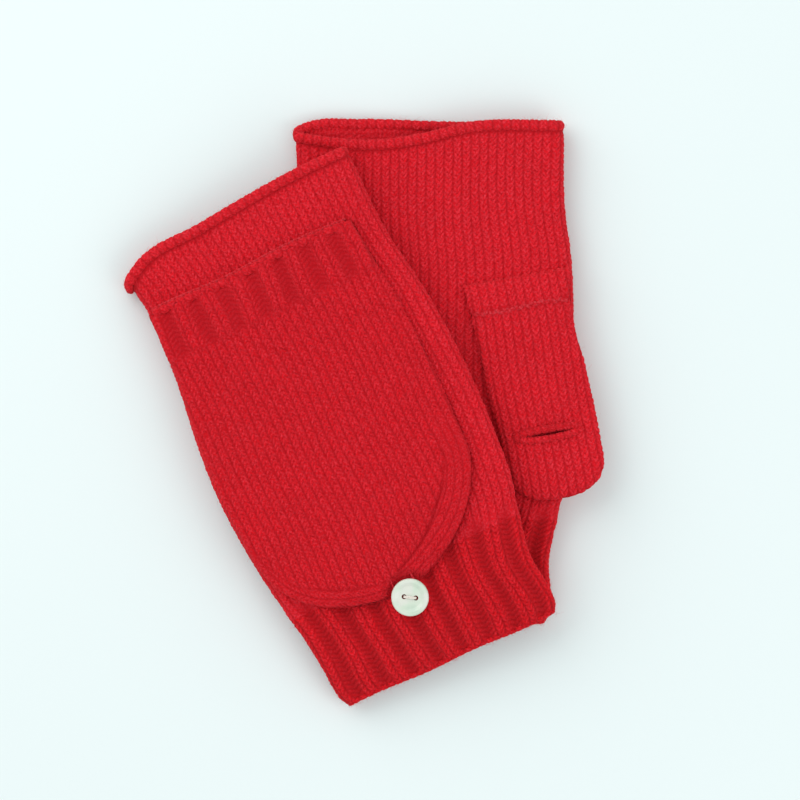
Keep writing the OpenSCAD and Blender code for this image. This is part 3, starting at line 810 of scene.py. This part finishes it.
def make_cap(mitten):
    side = mitten.side
    rib_end = CAP_MOUTH - CAP_RIB
    front = cap_layer(mitten, "cap_front", CAP_LOW, rib_end, True)
    finish(front, "cap_knit", side + "_cap", side + "_cap_front_layer", side + "_cap_edge_fold")
    rib = cap_layer(mitten, "cap_rib", rib_end, CAP_MOUTH - 1.2, True)
    finish(rib, "cap_knit", None, side + "_cap_rib_band", blend=cap_bend(mitten, 10))
    under = cap_layer(mitten, "cap_back", CAP_LOW, CAP_MOUTH - 0.2, False)
    finish(under, "cap_knit", None, side + "_cap_back_layer", blend=cap_bend(mitten, 6))
    lip = roll(side + "_cap_mouth_roll", mouth_line(mitten, CAP_MOUTH - 1.4, 3.4), MOUTH_R, mitten.out,
               pitch=WALE, depth=0.5, sides=24, spacing=GRID, knit=True, squash=(1.0, 0.8))
    finish(lip, "cap_knit", None, blend=cap_bend(mitten, 10))
    seam = roll(side + "_cap_seam", mouth_line(mitten, CAP_MOUTH + 0.6, 0.4), 0.8, mitten.out,
                pitch=WALE / 2, slant=0.8, depth=0.3)
    finish(seam, "seam_yarn", side + "_hand", side + "_cap_hinge_seam")
    return front, rib, under


for mitten in MITTENS:
    print(mitten.side, "cap:", [len(p.data.polygons) for p in make_cap(mitten)])

# %% [markdown]
# ## The thumb
# The thumb is a narrower pocket, folded down over the palm. A band of the palm's own stitches leads to
# the row where the thumb's stitches were picked up, which shows as a wavy ridge. Near the tip a slit
# with two rolled lips lets the thumb's tip out, and the tip beyond it can turn back.

# %% Thumb
THUMB_TOP, THUMB_UNDER, THUMB_ROUNDING = 3.4, 0.3, 3.2
SEAM_Y = -12
SLIT_X, SLIT_W = 2, 27
THUMB_COURSE = 2.35
LIP_R = 1.5


def slit_open(x):
    """1 in the middle of the slit, 0 at its two ends and beyond."""
    return np.clip(1 - ((x - SLIT_X) / (SLIT_W / 2)) ** 2, 0, 1) ** 0.5


def upper_edge(x):
    return SLIT_Y + 0.8 * slit_open(x)


def lower_edge(x):
    return SLIT_Y - 2.1 * slit_open(x)


def thumb_layer(mitten, name, low, high, top):
    """Cloth on the thumb between two lines, low and high, each a value or a function of x."""
    share = np.linspace(0, 1, spaced(40, 0.42))[None]
    rough_left, rough_right = thumb_sides(np.array(float(SLIT_Y)))
    rough_x = rough_left + (rough_right - rough_left) * share
    low, high = (edge(rough_x) if callable(edge) else edge + 0 * rough_x for edge in (low, high))
    rise = np.linspace(0, 1, spaced(float((high - low).max()), 0.42))[:, None]
    if low.min() < -80:
        rise = rise ** 1.25
    y = low + (high - low) * rise
    left, right = thumb_sides(y)
    x = left + (right - left) * share
    inside, _ = edge_distance(x, y, THUMB_LINE, THUMB_RUN)
    near = np.clip(inside / THUMB_ROUNDING, 0, 1)
    middle = (THUMB_TOP + THUMB_UNDER) / 2
    z = middle + ((THUMB_TOP if top else THUMB_UNDER) - middle) * np.sqrt(1 - (1 - near) ** 2)
    tone = plain_knit((x - SLIT_X) / (WALE * 0.98), y / THUMB_COURSE)
    if top:
        z = z + thumb_crown(inside, y)
        crease = np.clip((0.6 - y) / 4, 0, 1)
        z = z * np.sqrt(1 - (1 - crease) ** 2)
        # Painted shade along the pick-up row: the tone beside and under the ridge is halved, which also
        # lowers the stitches.
        tone = tone * (1 - 0.5 * np.exp(-((y - SEAM_Y) / 1.6) ** 2))
    return cloth(f"{mitten.side}_{name}", mitten.thumb(x, y, z), tone,
                 mitten.palm_out if top else -mitten.palm_out)


def thumb_crown(inside, y):
    return 1.3 * (1 - np.exp(-inside / 7)) * np.clip(-y / 12, 0, 1)


def thumb_bend(mitten, joint_y, reach, a, b):
    return (f"{mitten.side}_{a}", f"{mitten.side}_{b}", tuple(mitten.thumb(0.0, joint_y + 0.5, 2.5)),
            tuple(mitten.thumb(0.0, joint_y - reach, 2.5)))


def thumb_height(x, y):
    """Height of the thumb's top over the palm, for what lies on it."""
    left, right = thumb_sides(y + 0 * x)
    return THUMB_TOP + thumb_crown(np.minimum(x - left, right - x), y)


def lip_path(mitten, edge, way):
    x = np.linspace(SLIT_X - SLIT_W / 2 - 0.4, SLIT_X + SLIT_W / 2 + 0.4, 70)
    y = edge(x) + way * 0.35 * LIP_R * slit_open(x)
    return mitten.thumb(x, y, thumb_height(x, y) - 0.75 + 0.75 * slit_open(x) ** 0.5)


def seam_path(mitten):
    left, right = thumb_sides(np.array(float(SEAM_Y)))
    x = np.linspace(left + 1.2, right - 1.2, 120)
    y = SEAM_Y + 0.55 * np.sin(2 * np.pi * x / 3.65) + 0.5 * np.sin(x / 5)
    return mitten.thumb(x, y, thumb_height(x, y) - 0.6)


def make_thumb(mitten):
    side = mitten.side
    gusset = thumb_layer(mitten, "thumb_gusset_knit", SEAM_Y, 0.6, True)
    finish(gusset, "palm_knit", None, side + "_thumb_gusset", blend=thumb_bend(mitten, 0, 7, "hand", "thumb"))
    seam = roll(side + "_thumb_pick_up_row", seam_path(mitten), 0.8, mitten.palm_out, pitch=WALE / 2,
                slant=0.8, depth=0.3)
    finish(seam, "seam_yarn", side + "_thumb", side + "_thumb_seam")
    front = thumb_layer(mitten, "thumb_top", upper_edge, SEAM_Y, True)
    finish(front, "palm_knit", side + "_thumb", side + "_thumb_front", side + "_thumb_side_folds")
    under = thumb_layer(mitten, "thumb_under", SLIT_Y, 0.0, False)
    finish(under, "palm_knit", None, side + "_thumb_back", blend=thumb_bend(mitten, 0, 7, "hand", "thumb"))
    lip = roll(side + "_slit_upper_lip", lip_path(mitten, upper_edge, 1), LIP_R, mitten.palm_out,
               pitch=WALE * 0.8, depth=0.5, sides=22, spacing=GRID, knit=True)
    finish(lip, "hem_knit", side + "_thumb", side + "_thumb_slit_hem")
    return front, under


def make_thumb_tip(mitten):
    side = mitten.side
    bend = thumb_bend(mitten, SLIT_Y, 3.5, "thumb", "thumb_tip")
    low = THUMB_ROUND["start"] - THUMB_ROUND["depth"]
    front = thumb_layer(mitten, "thumb_tip_top", low, lower_edge, True)
    finish(front, "palm_knit", None, side + "_thumb_tip_front", side + "_thumb_tip_edge", blend=bend)
    under = thumb_layer(mitten, "thumb_tip_under", low, SLIT_Y, False)
    finish(under, "palm_knit", None, side + "_thumb_tip_back", blend=bend)
    lip = roll(side + "_slit_lower_lip", lip_path(mitten, lower_edge, -1), LIP_R, mitten.palm_out,
               pitch=WALE * 0.8, depth=0.5, sides=22, spacing=GRID, knit=True)
    finish(lip, "hem_knit", None, blend=bend)
    return front, under


for mitten in MITTENS:
    print(mitten.side, "thumb:", [len(p.data.polygons) for p in make_thumb(mitten) + make_thumb_tip(mitten)])

# %% [markdown]
# ## The shell button
# A shell button is turned from mother-of-pearl: a low disc with a rounded rim, a shallow dish and two
# drilled holes. The frame's solid already has that exact shape, so it stays, and only gets its finish.
# Pearl is a pale base with slow clouds of green and cream under a clear polish. The sewing thread
# is two passes of cream cotton through the holes, so each pass is swept as a twisted cord.

# %% Button and thread
def pearl():
    material, nodes, links, shader = new_material("mother of pearl")
    place = nodes.new("ShaderNodeTexCoord").outputs["Object"]
    clouds = noise(nodes, links, place, 130, 3)
    tones = nodes.new("ShaderNodeValToRGB")
    links.new(clouds, tones.inputs["Fac"])
    stops = tones.color_ramp.elements
    stops[0].position, stops[0].color = 0.30, (0.55, 0.66, 0.54, 1)
    stops[1].position, stops[1].color = 0.72, (0.76, 0.77, 0.67, 1)
    for position, colour in ((0.45, (0.65, 0.74, 0.61, 1)), (0.58, (0.74, 0.75, 0.67, 1))):
        stops.new(position).color = colour
    links.new(tones.outputs["Color"], shader.inputs["Base Color"])
    shader.inputs["Roughness"].default_value = 0.3
    shader.inputs["Coat Weight"].default_value = 0.4
    shader.inputs["Coat Roughness"].default_value = 0.08
    bump = nodes.new("ShaderNodeBump")
    bump.inputs["Strength"].default_value = 0.12
    bump.inputs["Distance"].default_value = 0.2 * MM
    links.new(noise(nodes, links, place, 420, 2), bump.inputs["Height"])
    links.new(bump.outputs["Normal"], shader.inputs["Normal"])
    return material


def cotton():
    material, nodes, links, shader = new_material("sewing cotton")
    place = nodes.new("ShaderNodeTexCoord").outputs["Object"]
    flecks = ramp(nodes, links, noise(nodes, links, place, 3000, 2), 0.35, 0.65)
    cream = mixed(nodes, links, flecks, (0.78, 0.68, 0.60), (0.90, 0.84, 0.76))
    links.new(cream, shader.inputs["Base Color"])
    shader.inputs["Roughness"].default_value = 0.8
    return material


BUTTON_TURN, HOLE_PITCH = -31, 4.7
THREAD_R, THREAD_GAP = 0.24, 0.5


def thread_pass(mitten, number):
    """One pass of thread: up through a hole, over the bar and down through the other hole."""
    beside = (number - 0.5) * THREAD_GAP
    run = np.linspace(-1, 1, 50)
    reach = HOLE_PITCH / 2 * np.clip(run * 1.5, -1, 1)
    z = 3.4 - 1.9 * np.clip((np.abs(run) - 0.62) / 0.38, 0, 1) + 0.1 * np.cos(run * 3)
    turn = np.radians(BUTTON_TURN)
    x = BUTTON_AT[0] + reach * np.cos(turn) - beside * np.sin(turn)
    y = BUTTON_AT[1] + reach * np.sin(turn) + beside * np.cos(turn)
    sideways = mitten.along * np.cos(turn) - mitten.across * np.sin(turn)
    path = mitten.button_plane(x, y, z + swell(x, y) - swell(*BUTTON_AT))
    piece = roll(f"{mitten.side}_thread_{number}", path, THREAD_R, sideways, pitch=0.55,
                 slant=1.0, depth=0.07, sides=8, spacing=0.12)
    piece.data.materials.append(COTTON)
    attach(piece, mitten.side + "_button_body")
    return piece


PEARL, COTTON = pearl(), cotton()
for mitten in MITTENS:
    button = frame["nodes"][mitten.side + "_button"]
    button.data.materials.clear()
    button.data.materials.append(PEARL)
    passes = [thread_pass(mitten, number) for number in range(2)]
    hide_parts(mitten.side + "_button_thread")
    print(button.name, "keeps its solid;", len(passes), "passes of thread")

# %% [markdown]
# ## The button loop
# A loop of the same yarn grows out of the cap's tip and goes round the button's shank. It turns with
# the cap.

# %% Button loop
LOOP_R, LOOP_YARN_R, LOOP_Z = 3.6, 0.36, 1.13


def button_loop(mitten):
    angle = np.radians(np.linspace(113, 427, 90))
    reach = LOOP_R + 7.0 * np.abs(np.linspace(-1, 1, 90)) ** 7
    x, y = BUTTON_AT[0] + reach * np.cos(angle), BUTTON_AT[1] + reach * np.sin(angle)
    z = LOOP_Z + CUFF_BEND[mitten.side] * (cuff_curve(BUTTON_AT[1]) - cuff_curve(y))
    piece = roll(mitten.side + "_yarn_loop", mitten.button_plane(x, y, z), LOOP_YARN_R, mitten.out,
                 pitch=1.2, slant=1.0, depth=0.1, sides=10, spacing=0.25)
    return finish(piece, "seam_yarn", mitten.side + "_cap", mitten.side + "_button_loop")


print([button_loop(mitten).name for mitten in MITTENS])

# %% [markdown]
# ## Loose fibres
# Worn wool grows a halo of fine fibres, and without them the edges look cut from plastic. Hair particles
# would do it, but they are not part of the mesh that leaves Blender. So each fibre is a real strand: a
# thin bent three-sided tube that starts on the cloth and leans over. One mesh holds all the strands of a
# body. Pieces at a joint, which are set in place without a body, are left bald.

# %% Loose fibres
FIBRE_R = 0.03
FIBRE_STEPS = 5
FIRST_SEED = 40                   # each mitten's fibres have a fixed seed of their own


def strands(rng, roots, normals, lengths):
    """Points of many bent strands: each leans away from the cloth's normal at random."""
    count = len(roots)
    drift = rng.normal(size=(count, 3))
    lie = np.cross(normals, drift)
    lie /= np.linalg.norm(lie, axis=1, keepdims=True)
    curl = np.cross(normals, lie) * rng.normal(0, 0.8, (count, 1))
    t = np.linspace(0, 1, FIBRE_STEPS)[None, :, None]
    lift = normals[:, None] * (0.6 * t - 0.25 * t ** 2)
    return roots[:, None] + (lie[:, None] * t + curl[:, None] * t ** 2 + lift) * lengths[:, None, None] * MM


def strand_mesh(name, lines, rng):
    count = len(lines)
    ahead = np.gradient(lines, axis=1)
    ahead /= np.linalg.norm(ahead, axis=2, keepdims=True)
    beside = np.cross(ahead, rng.normal(size=(count, 1, 3)))
    beside /= np.linalg.norm(beside, axis=2, keepdims=True)
    over = np.cross(ahead, beside)
    thin = (FIBRE_R * np.linspace(1, 0.35, FIBRE_STEPS) * MM)[None, :, None]
    rings = [lines + thin * (np.cos(a) * beside + np.sin(a) * over) for a in np.radians((0, 120, 240))]
    points = np.stack(rings, 2)
    one = grid_faces(FIBRE_STEPS, 3, 1, wrap=True)
    faces = (one[None] + (np.arange(count) * FIBRE_STEPS * 3)[:, None, None]).reshape(-1, 4)
    u = np.tile(np.linspace(0.01, 0.99, 3), count * FIBRE_STEPS)
    v = np.repeat(np.linspace(0.01, 0.99, count * FIBRE_STEPS), 3)
    return mesh_piece(name, points, faces, np.full(count * FIBRE_STEPS * 3, 0.8), np.stack([u, v], 1))


def fibres_on(mitten, body, sources, each, seed):
    rng = np.random.default_rng(seed)
    roots, normals = [], []
    for source in sources:
        points, out = (grid.reshape(-1, 3) for grid in SURFACE[f"{mitten.side}_{source}"])
        picked = rng.integers(0, len(points), each)
        size = np.linalg.norm(out[picked], axis=1)
        picked, size = picked[size > 0], size[size > 0]      # the rows meet in one point at a tip
        roots.append(points[picked])
        normals.append(out[picked] / size[:, None])
    roots, normals = np.concatenate(roots), np.concatenate(normals)
    above = roots[:, 2] > 1.2 * MM
    roots, normals = roots[above], normals[above]
    lengths = rng.gamma(2.2, 0.45, len(roots)) + 0.4
    piece = strand_mesh(f"{mitten.side}_{body}_fibres", strands(rng, roots, normals, lengths), rng)
    return finish(piece, "palm_knit", f"{mitten.side}_{body}")


FIBRES = {"hand": (["back_of_hand", "palm_of_hand", "cuff_back_rib", "cuff_palm_rib", "finger_roll",
                    "cast_on_edge"], 1250),
          "cap": (["cap_front"], 5600),
          "thumb": (["thumb_top", "slit_upper_lip"], 1000)}
for seed, mitten in enumerate(MITTENS):
    for body, (sources, each) in FIBRES.items():
        piece = fibres_on(mitten, body, sources, each, FIRST_SEED + seed)
        print(piece.name, len(piece.data.polygons) // (3 * (FIBRE_STEPS - 1)), "strands")

# %% [markdown]
# ## Table and light
# The pair lies on a plain pale table under soft light: one large panel up and to the left for shape,
# one weak panel from the right, and a bright surround that keeps the shadows light.

# %% Table, lights and surround
def table():
    mesh = bpy.data.meshes.new("table")
    mesh.from_pydata([(-3, -3, 0), (3, -3, 0), (3, 3, 0), (-3, 3, 0)], [], [(0, 1, 2, 3)])
    floor = bpy.data.objects.new("table", mesh)
    floor.location.z = -0.2 * MM
    bpy.context.collection.objects.link(floor)
    material, _, _, shader = new_material("pale table")
    shader.inputs["Base Color"].default_value = (0.835, 0.90, 0.90, 1)
    shader.inputs["Roughness"].default_value = 0.75
    mesh.materials.append(material)


def soft_panel(name, place, size, power):
    data = bpy.data.lights.new(name, "AREA")
    data.size, data.energy = size, power
    lamp = bpy.data.objects.new(name, data)
    lamp.location = place
    direction = -np.array(place, float)
    flat = np.hypot(direction[0], direction[1])
    heading = np.arctan2(direction[1], direction[0]) - np.pi / 2
    lamp.rotation_euler = (np.arctan2(flat, -direction[2]), 0, heading)
    bpy.context.collection.objects.link(lamp)


def surround(strength):
    world = bpy.data.worlds.new("surround")
    world.use_nodes = True
    background = world.node_tree.nodes["Background"]
    background.inputs["Color"].default_value = (0.93, 1.0, 1.0, 1)
    background.inputs["Strength"].default_value = strength
    bpy.context.scene.world = world


table()
soft_panel("window", (-0.8, 0.75, 0.9), 1.4, 9.5)
soft_panel("fill", (0.9, -0.5, 0.9), 0.9, 4)
surround(0.735)
bpy.context.scene.view_settings.view_transform = "Standard"
